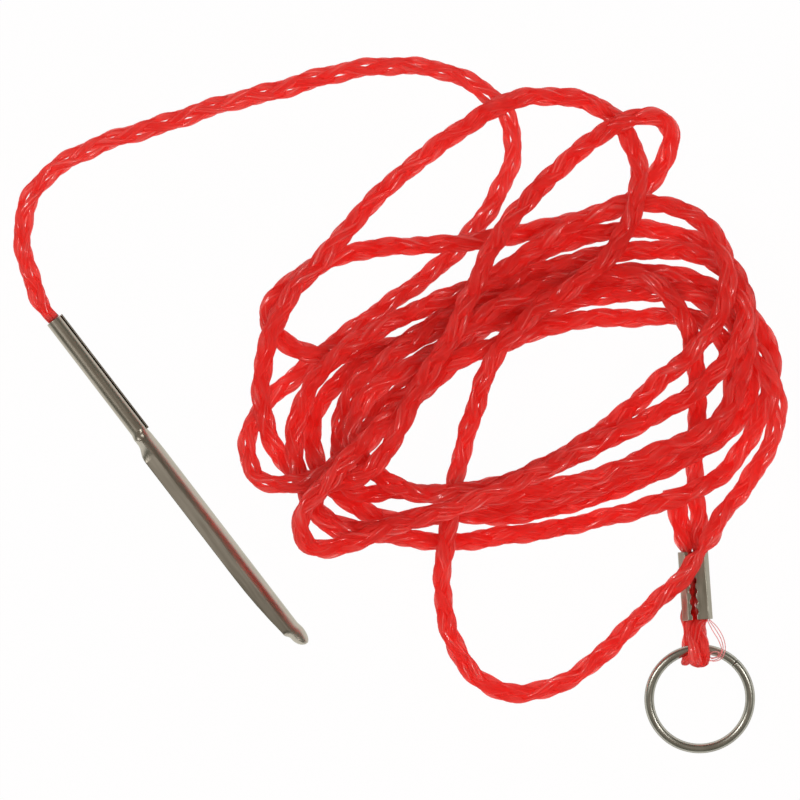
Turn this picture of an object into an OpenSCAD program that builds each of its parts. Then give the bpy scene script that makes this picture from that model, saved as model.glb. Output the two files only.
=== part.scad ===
// Fish stringer: braided cord with a sheet steel needle at one end and a ring in a crimped eye at the other.
// It lies flat as photographed from above, with the cord in a loose heap. Millimetres, +Z up, floor at zero.

/* [Cord] */
// Width of the oval braided cord as it lies
cord_width = 3.8; // [3.4:0.1:3.9]
// Thickness of the cord as it lies
cord_thickness = 2.8; // [2.5:0.1:2.9]

/* [Needle] */
// Length from the socket mouth to the tip
needle_length = 94.3; // [85:0.1:105]
// Outer diameter of the rolled socket
socket_od = 3.8; // [3.6:0.1:4.4]
// Length of the rolled socket up to the shoulder
socket_length = 32; // [26:1:38]
// Thickness of the sheet
needle_sheet = 0.45; // [0.35:0.05:0.6]
// Width of the blade's curved wall, along the sheet from its lower edge to the crease
blade_wall = 4.6; // [4.3:0.1:4.9]
// Width of the flat flange beside the crease
blade_flange = 2.8; // [2.4:0.1:3]

/* [Ring] */
// Outside diameter of the ring
ring_od = 25.4; // [22:0.2:28]
// Diameter of the ring wire
ring_wire = 2.2; // [1.8:0.1:2.6]

/* [Crimp ferrule] */
// Length of the ferrule along the cord
ferrule_length = 15.7; // [13:0.1:18]
// Outside width of the ferrule, across both strands
ferrule_width = 6.9; // [6.5:0.1:7.6]
// Outside height of the ferrule
ferrule_height = 4.6; // [4.3:0.1:5.2]
// Thickness of the ferrule sheet
ferrule_wall = 0.5; // [0.4:0.05:0.6]

/* [Layout] */
// Distance over needle and ring from left to right
span_x = 162.6; // [161:0.1:164]
// Distance over needle and ring from front to back
span_y = 101; // [100:0.1:102]

/* [Hidden] */
$fn = 48;

// Clearances and the one overrun that all cuts share
crimp_gap = 0.1;
wire_gap = 0.55;
lay_gap = 0.9;
over = 1;

// Directions of the needle and of the eye, turned about Z
needle_turn = 37.5;
eye_turn = 4;

// Needle: shoulder, blade, taper of the flange, and the nose with the point that it shrinks to
shoulder_turn = 2.8;
shoulder_length = 7;
blade_reach = 2.1;
flange_taper = 17;
flange_end = 1.7;
nose_length = 5.3;
nose_curl = 2;
nose_round = 3.3;
nose_reach = 2.4;
nose_wall = 4.5;
nose_cheek = 2.8;
nose_x = 1;
nose_z = 1.3;
nose_bluntness = 0.985;
nose_sheet_share = 0.45;

// Needle: slopes of the rolled sheet at its right edge, left and underneath, and the wing round the socket
edge_slope = 72;
left_slope = -78;
under_slope = -158;
wing_tuck = 8;
wing_lip = -275;
wing_flare = 0.55;
wing_share = 0.78;
wing_extra = 0.8;
socket_depth = 20;
socket_z = socket_od / 2;
lip_reach = socket_z - needle_sheet / 2 + wing_flare + wing_share * needle_sheet / 2;
mouth = [-span_x / 2 + socket_z * cos(needle_turn), span_y / 2 - lip_reach * sin(needle_turn)];
needle_axis = [sin(needle_turn), -cos(needle_turn)];

// Eye: the cord round the ring wire
eye_thickness = 2.8;
eye_lobes = 6.4;
eye_leg = 6.7;
loop_r = ring_wire / 2 + wire_gap + eye_thickness / 2;
hinge_z = loop_r + eye_thickness / 2;
ring_r = (ring_od - ring_wire) / 2;
ring_tilt = asin((hinge_z - ring_wire / 2) / (2 * ring_r));
hinge = [span_x / 2 - ring_od / 2, -span_y / 2 + 2 * ring_r * cos(ring_tilt) + ring_wire / 2];
eye_axis = [-sin(eye_turn), cos(eye_turn)];
eye_side = [cos(eye_turn), sin(eye_turn)];

// Ferrule: bore, strands in it, and the scalloped seam on its top
bore_width = ferrule_width - 2 * ferrule_wall;
bore_height = ferrule_height - 2 * ferrule_wall;
strand_width = (bore_width - 3 * crimp_gap) / 2;
strand_thickness = bore_height - 2 * crimp_gap;
strand_x = (crimp_gap + strand_width) / 2;
ferrule_z = ferrule_height / 2;
left_bevel = 1.3;
right_bevel = 0.9;
under_bevel = 1.2;
inner_bevel_loss = ferrule_wall * (2 - sqrt(2));
seam_x = -0.66;
seam_slot = 1.1;
scallop_d = 1.9;
scallop_pitch = 2.4;
ferrule_top = hinge + eye_axis * (eye_leg + ferrule_length);
strand_end = ferrule_top + eye_side * strand_x;

// Ring joint: place round the wire and width of the butt gap
joint_angle = 47;
joint_gap = 0.25;

// Cord route from the needle to the ferrule, seen from above: laying order, then points.
// A stretch lies over every stretch with a lower order that it crosses.
straight_run = 4;
ferrule_order = 3;
route = [
    // Out of the needle, over the top, and down to the left side
    [0, [mouth, mouth - needle_axis * straight_run, [-86, 62], [-87, 70], [-84.5, 78.5], [-78.5, 84.5],
        [-69, 89.5], [-55, 94], [-41.5, 98.5], [-28, 102], [-14, 106], [-2.5, 107.5], [9, 106.5], [18, 102.5],
        [23, 98], [25.5, 92.5], [25.5, 86], [23, 79.5], [18.5, 72], [12.5, 65], [7, 60], [-4.5, 51.5],
        [-15, 44], [-25, 35.5], [-32, 29], [-35, 22.5], [-35, 17]]],
    // Hairpin at the left and up the diagonal band
    [13, [[-33, 13], [-29, 11.5], [-24, 11.5], [-18.5, 13.5], [-13, 17.5], [-9.5, 24], [-5, 29], [0, 32.5],
        [6, 37.5], [11.5, 42.5], [17, 47.5]]],
    // Along the top to the right, and the wide loop down past the ferrule
    [7, [[26, 49], [34, 51.5], [42, 54], [50, 55], [60, 55.5], [67, 55], [71, 52.5]]],
    [8, [[75.5, 49], [80, 43.5], [84, 37.5]]],
    [16, [[86, 31], [86, 24.5], [83.5, 18.5], [79, 11], [73.5, 4], [68.5, -4.5], [64, -10.5], [57, -17],
        [50, -24], [43, -30.5], [36.5, -34.5], [29.5, -36.5], [22.5, -36], [16.5, -32], [12.5, -26],
        [10, -17.5], [9.5, -8.5], [10.5, -1.5]]],
    // Up over the heap on the inner side
    [18, [[11.5, 5.5], [12.5, 12], [14, 19], [16.5, 27.5], [19, 35.5], [21.5, 41], [24.5, 45], [28.5, 49],
        [33.5, 53], [39, 56.5], [44.5, 61], [49, 65.5], [52, 71], [54, 77]]],
    // Loop at the top and down to the left side
    [4, [[54.5, 83.5], [53, 89.5], [49.5, 95], [43.5, 99], [35, 100.5], [27.5, 100], [21, 97.5], [15, 93.5],
        [9.5, 90], [4.5, 86], [-5, 78], [-9.5, 73], [-13.5, 68.5], [-19, 62], [-24, 56.5], [-28.5, 49],
        [-31, 42]]],
    [3, [[-32, 35.5], [-32, 30], [-31, 25], [-29, 20], [-26, 15.5], [-22.5, 13], [-18, 12.5]]],
    // First full turn, hidden at the bottom of the heap
    [5, [[-13, 16], [-6.5, 22], [0, 29], [6, 36.5], [12, 42.5], [18.5, 47], [27, 51], [37, 54.5], [47, 57.5],
        [57, 58], [66, 57], [73, 52.5], [78, 46], [80.5, 39], [80, 31], [76.5, 25], [69, 19.5], [57.5, 13.5],
        [46, 9], [34.5, 6], [23, 4], [11.5, 4.5], [4, 3.5], [-2.5, 3], [-7, 4.5], [-12, 7.5], [-16.5, 11.5]]],
    // Second turn
    [10, [[-19.5, 17], [-20.5, 23.5], [-19.5, 28], [-16.5, 32.5], [-12, 37], [-4, 41.5], [5, 46.5], [12, 52],
        [18.5, 57], [27.5, 62], [36.5, 66.5], [46, 69], [55, 70], [64, 68.5], [71, 66], [76, 60.5],
        [79, 53.5], [79.5, 46], [78.5, 39], [76, 31], [71, 24.5], [57.5, 18.5], [46, 13.5], [34.5, 10.5],
        [23, 8.5], [11.5, 9.5], [4, 9.5], [-3, 10], [-8, 9], [-12, 10.5]]],
    // Third turn, its lower run on top of the heap
    [11, [[-14, 16], [-14, 23], [-13, 28.5], [-10.5, 34], [-5, 39], [2, 43.5], [9, 48], [18.5, 54], [25, 57],
        [33, 60.5], [43.5, 63.5], [55, 65], [66.5, 64.5], [73.5, 61], [77.5, 56], [78.5, 49.5], [76.5, 43]]],
    [20, [[72, 37], [68, 33], [64, 30.5], [55, 25.5], [46, 21], [34.5, 15.5], [23, 10.5], [11.5, 6],
        [6.5, 4.5], [0, 2.5], [-6, 0], [-12, -2]]],
    [21, [[-17.5, -3.5], [-21.5, -2], [-23, 1.5], [-22.5, 5], [-18.5, 10], [-14.5, 14.5], [-10, 19.5],
        [-5, 24.5], [0, 28.5], [5.5, 33], [9.5, 37]]],
    // Fourth turn, which ends under the lower left corner
    [17, [[13.5, 40], [18, 42], [23, 43.5], [28, 45.5], [36, 48]]],
    [9, [[45, 49.5], [55, 49.5], [65, 50], [69.5, 48.5], [73, 45.5], [75, 41], [76, 35], [75, 29], [71, 23.5],
        [57.5, 16], [46, 11], [34.5, 8], [23, 6], [11.5, 5.5]]],
    [14, [[4, 4], [-3, 1.5], [-9, 0.5], [-14.5, 1], [-19, 4.5], [-19.5, 9], [-16, 12]]],
    [16, [[-11, 12.5], [-7, 15]]],
    // Run that crosses over everything, and the hairpin at the upper right
    [22, [[-3, 19.5], [0.5, 26], [3, 31.5], [6, 37], [10, 42.5], [12.5, 47.5], [15, 53], [17.5, 58.5],
        [20, 64], [24, 70.5], [29, 76.5], [36.5, 84], [43.5, 90], [50, 94], [57, 96]]],
    [1, [[61, 94], [62, 89.5], [59.5, 84], [56, 79], [51, 75.5], [45, 73], [38, 71.5], [30, 69.5], [20, 67.5],
        [10, 66.5], [-0.5, 66], [-9.5, 65], [-18.5, 62], [-24, 58.5]]],
    // Turn at the far left, then the fifth turn
    [2, [[-29, 54], [-30.5, 50], [-28.5, 45.5], [-23, 42], [-15, 41]]],
    [6, [[-4.5, 42.5], [4.5, 45], [11, 48], [18.5, 51.5], [27, 56], [38, 59], [50, 60], [62, 59.5],
        [70.5, 57], [77, 52.5], [82, 47.5], [85, 41.5], [85, 35], [83, 28.5]]],
    [12, [[79, 20.5], [74.5, 14.5], [69.5, 11], [57.5, 6.5], [46, 3.5], [34.5, 1], [23, -0.5], [11.5, -2],
        [2, -1], [-7, 0.5], [-14.5, 2], [-20, 6], [-23, 12.5], [-24.5, 19], [-24, 25.5], [-22, 31.5],
        [-18, 37.5], [-12, 43], [-5, 47], [3, 51], [11, 54.5], [18.5, 57.5], [26.5, 62.5], [33, 67],
        [39.5, 71], [46, 74], [53, 76], [60, 75.5], [66, 73.5], [70.5, 70], [73.5, 65], [74.5, 58.5],
        [74, 53]]],
    // Lower run on the inner side, then the sixth turn
    [19, [[71.5, 48], [65.5, 40.5], [59.5, 35.5], [55, 31], [46, 23.5], [34.5, 16.5], [23, 11.5], [14, 10],
        [7, 9]]],
    [15, [[0, 10.5], [-5, 13.5], [-9, 17.5], [-11.5, 22], [-10.5, 27], [-7.5, 31.5], [-3, 35.5], [4, 39.5],
        [11, 44], [18.5, 50], [27, 54.5], [36.5, 58], [45, 59.5], [54, 59], [60, 56], [64, 50.5], [66.5, 44],
        [67.5, 37.5]]],
    // Under the lower bundle and down to the ferrule
    [3, [[68, 30], [67.5, 21], [67.5, 11], [68.5, 3], strand_end + eye_axis * straight_run, strand_end]]
];
// Cut end of the cord beside the ferrule, in plan, from the middle of the ferrule's top
tail = [[-2.5, 5.5], [-3.5, 10], [-4.5, 14.5]];

// Places along the cord: ring spacing, steepest climb, and rounds of settling
ring_step = 5;
climb_share = 0.4;
settle_rounds = 30;
crossing_relief = 1.3;
lead_sides = 8;
heap_sides = 6;
taper_length = 7;

// Points of a smooth curve through a list of points, two for each ring
function knot(a, b) = sqrt(max(norm(b - a), 0.001));
function span_steps(a, b) = max(1, round(2 * norm(b - a) / ring_step));
function span_point(p0, p1, p2, p3, t) =
    let (d0 = knot(p0, p1), d1 = knot(p1, p2), d2 = knot(p2, p3))
    let (m1 = p2 - p1 + d1 * ((p1 - p0) / d0 - (p2 - p0) / (d0 + d1)))
    let (m2 = p2 - p1 + d1 * ((p3 - p2) / d2 - (p3 - p1) / (d1 + d2)))
    (2 * t ^ 3 - 3 * t ^ 2 + 1) * p1 + (t ^ 3 - 2 * t ^ 2 + t) * m1
        + (3 * t ^ 2 - 2 * t ^ 3) * p2 + (t ^ 3 - t ^ 2) * m2;
function before(p, i) = i > 0 ? p[i - 1] : 2 * p[0] - p[1];
function after(p, i) = i + 2 < len(p) ? p[i + 2] : 2 * p[i + 1] - p[i];
function smooth(p) = concat(
    [for (i = [0:len(p) - 2]) let (n = span_steps(p[i], p[i + 1])) for (k = [0:n - 1])
        span_point(before(p, i), p[i], p[i + 1], after(p, i), k / n)],
    [p[len(p) - 1]]);

// Plan of the whole route, with the laying order of every point
route_points = [for (s = route) for (p = s[1]) p];
route_orders = [for (s = route) for (p = s[1]) s[0]];
plan = smooth(route_points);
orders = concat(
    [for (i = [0:len(route_points) - 2]) for (k = [1:span_steps(route_points[i], route_points[i + 1])])
        route_orders[i]],
    [route_orders[len(route_orders) - 1]]);
count = len(plan);
last = count - 1;
tail_plan = smooth(concat([ferrule_top - eye_side * strand_x], [for (p = tail) ferrule_top + p]));

// Heights: each point rests on what was laid before it, and the cord climbs no steeper than its share
reach = cord_width + lay_gap * cord_width / cord_thickness;
lift = cord_thickness + lay_gap;
rest_z = cord_thickness / 2;
skip_length = 2.5 * reach;
function travelled(p) = [for (i = 0, s = 0; i < len(p);
    i = i + 1, s = i < len(p) ? s + norm(p[i] - p[i - 1]) : s) s];
travel = travelled(plan);
function heading(p, i) = let (d = p[min(i + 1, len(p) - 1)] - p[max(i - 1, 0)]) d / norm(d);
headings = [for (i = [0:last]) heading(plan, i)];
function crossing(i, j) = abs(headings[i][0] * headings[j][1] - headings[i][1] * headings[j][0]);
function over_by(i, j) =
    let (d = max(0, norm(plan[i] - plan[j]) - crossing_relief * crossing(i, j)))
    d < reach ? lift * sqrt(1 - (d / reach) ^ 2) : -1;
function is_over(i, j) = orders[i] > orders[j] || (orders[i] == orders[j] && i > j);
wide_reach = reach + crossing_relief;
function near(p, q) = abs(p[0] - q[0]) < wide_reach && abs(p[1] - q[1]) < wide_reach;
contacts = [for (i = [0:last]) [for (j = [0:last])
    if (near(plan[i], plan[j]) && abs(travel[i] - travel[j]) > skip_length && is_over(i, j)
        && over_by(i, j) > 0) [j, over_by(i, j)]]];

// Lowest height at a place: the floor, the ferrule, the cut end, and the straight runs at both ends
ferrule_line = [for (k = [0:4]) hinge + eye_axis * (eye_leg + ferrule_length * k / 4)];
function close_to(p, line, d) = min([for (q = line) norm(p - q)]) < d;
function base_height(i) = max(rest_z,
    norm(plan[i] - mouth) < straight_run ? socket_z : 0,
    norm(plan[i] - strand_end) < straight_run + over ? ferrule_z : 0,
    orders[i] > ferrule_order && close_to(plan[i], ferrule_line, ferrule_width / 2 + reach / 2)
        ? ferrule_height + lay_gap + rest_z : 0,
    orders[i] > ferrule_order && close_to(plan[i], tail_plan, reach) ? ferrule_z + lift : 0);
function run_on(z) = [for (i = 0, h = z[0]; i <= last;
    i = i + 1, h = i > last ? h : max(z[i], h - climb_share * norm(plan[i] - plan[i - 1]))) h];
function run_back(z) =
    let (b = [for (i = last, h = z[last]; i >= 0;
        i = i - 1, h = i < 0 ? h : max(z[i], h - climb_share * norm(plan[i] - plan[i + 1]))) h])
    [for (i = [0:last]) b[last - i]];
function stacked(z) = [for (i = [0:last]) max([z[i], for (c = contacts[i]) z[c[0]] + c[1]])];
function settled(z, n) =
    let (next = run_back(run_on(stacked(z))))
    n == 0 || norm(next - z) == 0 ? next : settled(next, n - 1);
heights = settled([for (i = [0:last]) base_height(i)], settle_rounds);
route_line = [for (i = [0:last]) [plan[i][0], plan[i][1], heights[i]]];

// Least gap of the cord to itself, on points along the straight pieces between its rings
ring_line = [for (i = [0:2:last]) route_line[i]];
flatness = cord_width / cord_thickness;
tests_per_piece = 3;
test_skip = ceil(skip_length / ring_step) * tests_per_piece;
test_line = [for (i = [0:len(ring_line) - 2]) for (k = [0:tests_per_piece - 1])
    let (p = ring_line[i] + (ring_line[i + 1] - ring_line[i]) * k / tests_per_piece)
    [p[0], p[1], p[2] * flatness]];
test_last = len(test_line) - 1;
function least_gap() = (min([for (i = [0:test_last - test_skip]) for (j = [i + test_skip:test_last])
    if (near(test_line[i], test_line[j])) norm(test_line[i] - test_line[j])]) - cord_width) / flatness;

// Tube of oval rings round a line: one closed polyhedron with triangular faces
function along(p, i) = let (d = p[min(i + 1, len(p) - 1)] - p[max(i - 1, 0)]) d / norm(d);
function across(d) = let (s = cross(d, [0, 0, 1])) s / norm(s);
function corner(n, k) = 360 * k / n + (n % 4 == 0 ? 180 / n : 0);
function oval(p, side, up, w, t, n) =
    let (a = w / 2 / (n % 4 == 0 ? cos(180 / n) : 1), b = t / 2 / cos(180 / n))
    [for (k = [0:n - 1]) p + side * a * cos(corner(n, k)) + up * b * sin(corner(n, k))];
module tube(rings) {
    n = len(rings[0]);
    m = len(rings);
    skin = [for (i = [0:m - 2]) for (k = [0:n - 1]) let (a = i * n + k, b = i * n + (k + 1) % n)
        for (f = [[a, b, b + n], [a, b + n, a + n]]) f];
    e = (m - 1) * n;
    ends = [for (k = [1:n - 2]) for (f = [[0, k + 1, k], [e, e + k, e + k + 1]]) f];
    polyhedron([for (r = rings) for (p = r) p], concat(skin, ends));
}

// Free cord: width and thickness swell from the narrow ends that the socket and the ferrule hold
function ease(t) = let (c = max(0, min(1, t))) c * c * (3 - 2 * c);
function swell(narrow, wide, d) = narrow + (wide - narrow) * ease(d / taper_length);
socket_bore = socket_od - 2 * needle_sheet - 2 * crimp_gap;
function free_width(p) = min(swell(socket_bore, cord_width, norm([p[0], p[1]] - mouth)),
    swell(strand_width, cord_width, norm([p[0], p[1]] - strand_end)));
function free_thickness(p) = let (a = norm([p[0], p[1]] - mouth), b = norm([p[0], p[1]] - strand_end))
    a < b ? swell(socket_bore, cord_thickness, a) : swell(strand_thickness, cord_thickness, b);
module free_cord(line, i0, i1, n) {
    tube([for (i = [i0:i1]) let (side = across(along(line, i)))
        oval(line[i], side, [0, 0, 1], free_width(line[i]), free_thickness(line[i]), n)]);
}
lead_points = len(route[0][1]);
lead_last = len(smooth([for (i = [0:lead_points - 1]) route_points[i]])) - 1;
lead_ring = floor(lead_last / 2);

module cord_lead() {
    color("red") free_cord(ring_line, 0, lead_ring, lead_sides);
}

module cord_heap() {
    color("red") free_cord(ring_line, lead_ring, len(ring_line) - 1, heap_sides);
    echo(least_gap_mm = least_gap(), cord_length_mm = travelled(route_line)[last], rings = len(ring_line));
    echo(heap_height_mm = max(heights) + rest_z);
}

// Needle: one strip of sheet, rolled to a tube at the socket and opened to a creased blade with a blunt nose.
// A slope tells how the outer surface runs: 90 climbs on the right, 0 runs level to the left, -90 drops.
// A row holds the right edge's x and z, the wall with its two slopes, and the flange with its two slopes.
function arc_length(from, to) = socket_z * (from - to) * PI / 180;
tube_row = [socket_z * sin(edge_slope), socket_z * (1 + cos(edge_slope)),
    arc_length(edge_slope, left_slope), edge_slope, left_slope,
    arc_length(left_slope, under_slope), left_slope, under_slope];
turn_row = [(socket_z + blade_reach) / 2, needle_sheet, blade_wall, 82, 17, blade_flange, -48, -76];
blade_row = [blade_reach, 0, blade_wall, 85, 22, blade_flange, -15, -15];
narrow_row = [blade_reach, 0, blade_wall, 85, 22, flange_end, -18, -18];
nose_row = [nose_reach, 0, nose_wall, 88, 20, nose_cheek, -40, -85];
rows = [tube_row, tube_row, turn_row, blade_row, blade_row, narrow_row, nose_row, nose_row];
shoulder_end = socket_length + shoulder_length;
nose_start = needle_length - nose_length;
places = [0, socket_length, socket_length + shoulder_turn, shoulder_end, nose_start - flange_taper,
    nose_start, nose_start + nose_curl, needle_length];
function mix(i, t) = let (c = rows[i + 1] == narrow_row ? t * t : ease(t))
    rows[i] * (1 - c) + rows[i + 1] * c;
function row_at(s, i = 0) = i < len(rows) - 2 && s > places[i + 1] ? row_at(s, i + 1)
    : mix(i, (s - places[i]) / (places[i + 1] - places[i]));

// Outer line of a row from its right edge, in equal parts along the wall and along the flange
wall_parts = 15;
flange_parts = 5;
strip_parts = wall_parts + flange_parts;
function part_slope(r, j) = j < wall_parts ? r[3] + (r[4] - r[3]) * (j + 0.5) / wall_parts
    : r[6] + (r[7] - r[6]) * (j - wall_parts + 0.5) / flange_parts;
function part_length(r, j) = j < wall_parts ? r[2] / wall_parts : r[5] / flange_parts;
function outer_line(r) = [for (j = 0, p = [r[0], r[1]]; j <= strip_parts;
    p = p + part_length(r, j) * [-cos(part_slope(r, j)), sin(part_slope(r, j))], j = j + 1) p];

// Strip at a place along the needle, on its outer side or on its inner side
function nose_size(s) = sqrt(1 - (nose_bluntness * max(0, 1 + (s - needle_length) / nose_round)) ^ 2);
function strip_side(s, inner) =
    let (p = outer_line(row_at(s)), size = nose_size(s), nose = [nose_x, nose_z])
    let (sheet = needle_sheet * max(size, nose_sheet_share))
    [for (j = [0:strip_parts])
        let (d = along(p, j), q = nose + (p[j] - nose) * size + [-d[1], d[0]] * inner * sheet)
        [q[0], -s, q[1]]];
shoulder_steps = 10;
taper_steps = 4;
curl_steps = 4;
stations = concat([0], [for (k = [0:shoulder_steps]) socket_length + shoulder_length * k / shoulder_steps],
    [for (k = [-taper_steps:0]) nose_start + flange_taper * k / taper_steps],
    [for (k = [1:curl_steps]) nose_start + nose_curl * k / curl_steps],
    [for (a = [18:12:90]) needle_length - nose_round * (1 - sin(a))]);

module strip() {
    n = strip_parts + 1;
    m = len(stations);
    skins = [for (i = [0:m - 2]) for (k = [0:n - 2]) let (a = 2 * i * n + k, b = a + 2 * n)
        let (c = a + n, d = b + n)
        for (f = [[a, b + 1, a + 1], [a, b, b + 1], [c, d + 1, d], [c, c + 1, d + 1]]) f];
    rims = [for (i = [0:m - 2]) let (a = 2 * i * n, b = a + 2 * n, c = a + n - 1, d = b + n - 1)
        for (f = [[a, b + n, b], [a, a + n, b + n], [c, d + n, c + n], [c, d, d + n]]) f];
    mouth_cap = [for (k = [0:n - 2]) for (f = [[k, k + n + 1, k + n], [k, k + 1, k + n + 1]]) f];
    e = 2 * (m - 1) * n;
    nose_cap = [for (k = [e:e + n - 2]) for (f = [[k, k + n, k + n + 1], [k, k + n + 1, k + 1]]) f];
    polyhedron([for (s = stations) for (p = concat(strip_side(s, 0), strip_side(s, 1))) p],
        concat(skins, rims, mouth_cap, nose_cap));
}

// Wing that wraps under the socket and up to the seam
module wing() {
    half = wing_share * needle_sheet / 2;
    function at(t, side) = let (a = (under_slope + wing_tuck) * (1 - t) + wing_lip * t)
        (socket_z - needle_sheet / 2 + wing_flare * t * t + side * half) * [sin(a), cos(a)];
    rotate([90, 0, 0]) linear_extrude(socket_length + wing_extra) translate([0, socket_z])
        polygon(concat([for (k = [0:wall_parts]) at(k / wall_parts, 1)],
            [for (k = [wall_parts:-1:0]) at(k / wall_parts, -1)]));
}

module needle() {
    color("silver") translate(concat(mouth, 0)) rotate(needle_turn) union() {
        strip();
        wing();
    }
}

// Cord held in the needle's socket
module cord_socket_end() {
    color("red") translate(concat(mouth, socket_z)) rotate(needle_turn) rotate([90, 0, 0])
        cylinder(d = socket_bore, h = socket_depth);
}

// Eye in its own frame: X across, Y from the ring wire to the ferrule, Z up from the floor
module at_eye() {
    translate(concat(hinge, 0)) rotate(eye_turn) children();
}
function to_eye(p) = let (d = p - hinge) [d * eye_side, d * eye_axis];
loop_angles = [62, 85, 110, 135, 158, 180, 202, 225, 250, 275];
front_x = 0.3;
back_x = -1.5;
function loop_point(a) = let (x = front_x + (back_x - front_x) * (a - 90) / 180)
    [x, loop_r * cos(a), hinge_z + loop_r * sin(a)];
tail_end = [for (i = [1:len(tail_plan) - 1]) to_eye(tail_plan[i])];
eye_top = eye_leg + ferrule_length;
eye_line = concat(
    [[strand_x, eye_top, ferrule_z], [strand_x, eye_leg, ferrule_z],
        [strand_x * 0.85, eye_leg * 0.78, ferrule_z + (hinge_z + loop_r - ferrule_z) * 0.38]],
    [for (a = loop_angles) loop_point(a)],
    [[-strand_x * 0.95, eye_leg * 0.6, rest_z + 0.1 * ferrule_z], [-strand_x, eye_leg, ferrule_z],
        [-strand_x, eye_top, ferrule_z]],
    [for (i = [0:len(tail_end) - 1]) [tail_end[i][0], tail_end[i][1],
        max(rest_z, ferrule_z - (ferrule_z - rest_z) * (i + 1) / 3)]]);

module cord_eye() {
    at_eye() tube([for (i = [0:len(eye_line) - 1])
        let (d = along(eye_line, i), p = eye_line[i], held = p[1] > eye_leg - over && p[1] < eye_top + over)
        let (out = max(0, p[1] - eye_top, eye_leg - p[1]), far = max(0, -p[1] / loop_r))
        let (w = held ? strand_width : swell(strand_width, cord_width, out) + (eye_lobes - cord_width) * far)
        let (t = held ? strand_thickness : swell(strand_thickness, eye_thickness, out))
        let (up = [0, -d[2], d[1]] / norm([d[1], d[2]]))
        oval(p, [1, 0, 0], up, w, t, 10)]);
}

// Ferrule: a bent strip, open on top along a scalloped seam
function bevelled(w, h, loss) = let (l = left_bevel - loss, r = right_bevel - loss, u = under_bevel - loss)
    [[-w / 2 + u, 0], [w / 2 - u, 0], [w / 2, u], [w / 2, h - r], [w / 2 - r, h],
    [-w / 2 + l, h], [-w / 2, h - l], [-w / 2, u]];

module crimp_ferrule() {
    scallops = floor(ferrule_length / scallop_pitch);
    first = (ferrule_length - (scallops - 1) * scallop_pitch) / 2;
    color("gray") at_eye() translate([0, eye_leg, 0]) difference() {
        translate([0, ferrule_length, 0]) rotate([90, 0, 0]) linear_extrude(ferrule_length) difference() {
            polygon(bevelled(ferrule_width, ferrule_height, 0));
            translate([0, ferrule_wall]) polygon(bevelled(bore_width, bore_height, inner_bevel_loss));
        }
        translate([seam_x - seam_slot / 2, -over, ferrule_z])
            cube([seam_slot, ferrule_length + 2 * over, ferrule_height]);
        for (k = [0:scallops - 1]) translate([seam_x, first + k * scallop_pitch, ferrule_z])
            cylinder(d = scallop_d, h = ferrule_height);
    }
}

// Ring: round wire bent to a ring, butted at one place
module ring() {
    gap_angle = 360 * joint_gap / (2 * PI * ring_r);
    color("silver") translate(concat(hinge, hinge_z)) rotate([-ring_tilt, 0, 180]) translate([0, ring_r, 0])
        rotate(180 + joint_angle + gap_angle / 2) rotate_extrude(angle = 360 - gap_angle, $fn = 96)
            translate([ring_r, 0]) circle(d = ring_wire, $fn = 24);
}

needle();
cord_socket_end();
cord_lead();
cord_heap();
cord_eye();
crimp_ferrule();
ring();
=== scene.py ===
# Fish stringer, dressed for the render: braided cord, sheet steel needle, crimped ferrule and ring.
# Lengths in the tables are millimetres, as in part.scad, and every Blender object is in metres.
import math

import bpy
import numpy as np
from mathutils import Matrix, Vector


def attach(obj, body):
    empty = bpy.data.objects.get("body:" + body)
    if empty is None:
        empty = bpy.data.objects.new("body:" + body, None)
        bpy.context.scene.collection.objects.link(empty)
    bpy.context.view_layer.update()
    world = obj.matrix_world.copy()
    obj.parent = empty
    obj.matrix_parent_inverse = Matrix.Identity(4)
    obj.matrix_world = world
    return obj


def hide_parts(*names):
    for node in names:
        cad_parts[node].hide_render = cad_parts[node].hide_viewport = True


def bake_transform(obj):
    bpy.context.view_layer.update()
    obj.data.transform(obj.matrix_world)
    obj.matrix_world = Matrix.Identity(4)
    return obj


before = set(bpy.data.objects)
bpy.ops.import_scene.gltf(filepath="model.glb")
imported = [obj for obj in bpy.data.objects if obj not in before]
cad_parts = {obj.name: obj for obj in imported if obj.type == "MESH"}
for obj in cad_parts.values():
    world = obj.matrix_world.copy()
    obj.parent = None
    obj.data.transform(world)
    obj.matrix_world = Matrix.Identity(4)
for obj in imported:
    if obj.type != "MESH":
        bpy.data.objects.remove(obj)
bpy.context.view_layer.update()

rng = np.random.default_rng(7)
MM = 0.001

# Sizes shared with part.scad
CAD_WIDTH = 3.8
CAD_THICKNESS = 2.8
LAY_GAP = 0.9
SPAN_X = 162.6
SPAN_Y = 101.0
NEEDLE_TURN = math.radians(37.5)
EYE_TURN = math.radians(4)
SOCKET_OD = 3.8
SHEET = 0.45
WING_FLARE = 0.55
WING_SHARE = 0.78
SOCKET_DEPTH = 20.0
RING_OD = 25.4
RING_WIRE = 2.2
WIRE_GAP = 0.55
EYE_THICKNESS = 2.8
EYE_LEG = 6.7
FERRULE_LENGTH = 15.7
FERRULE_WIDTH = 6.9
FERRULE_HEIGHT = 4.6
FERRULE_WALL = 0.5
CRIMP_GAP = 0.1
STRAIGHT_RUN = 4.0
RING_STEP = 5.0
CLIMB_SHARE = 0.4
SKIP_SHARE = 2.5
CROSSING_RELIEF = 1.3
FERRULE_ORDER = 3
SETTLE_ROUNDS = 30

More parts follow.
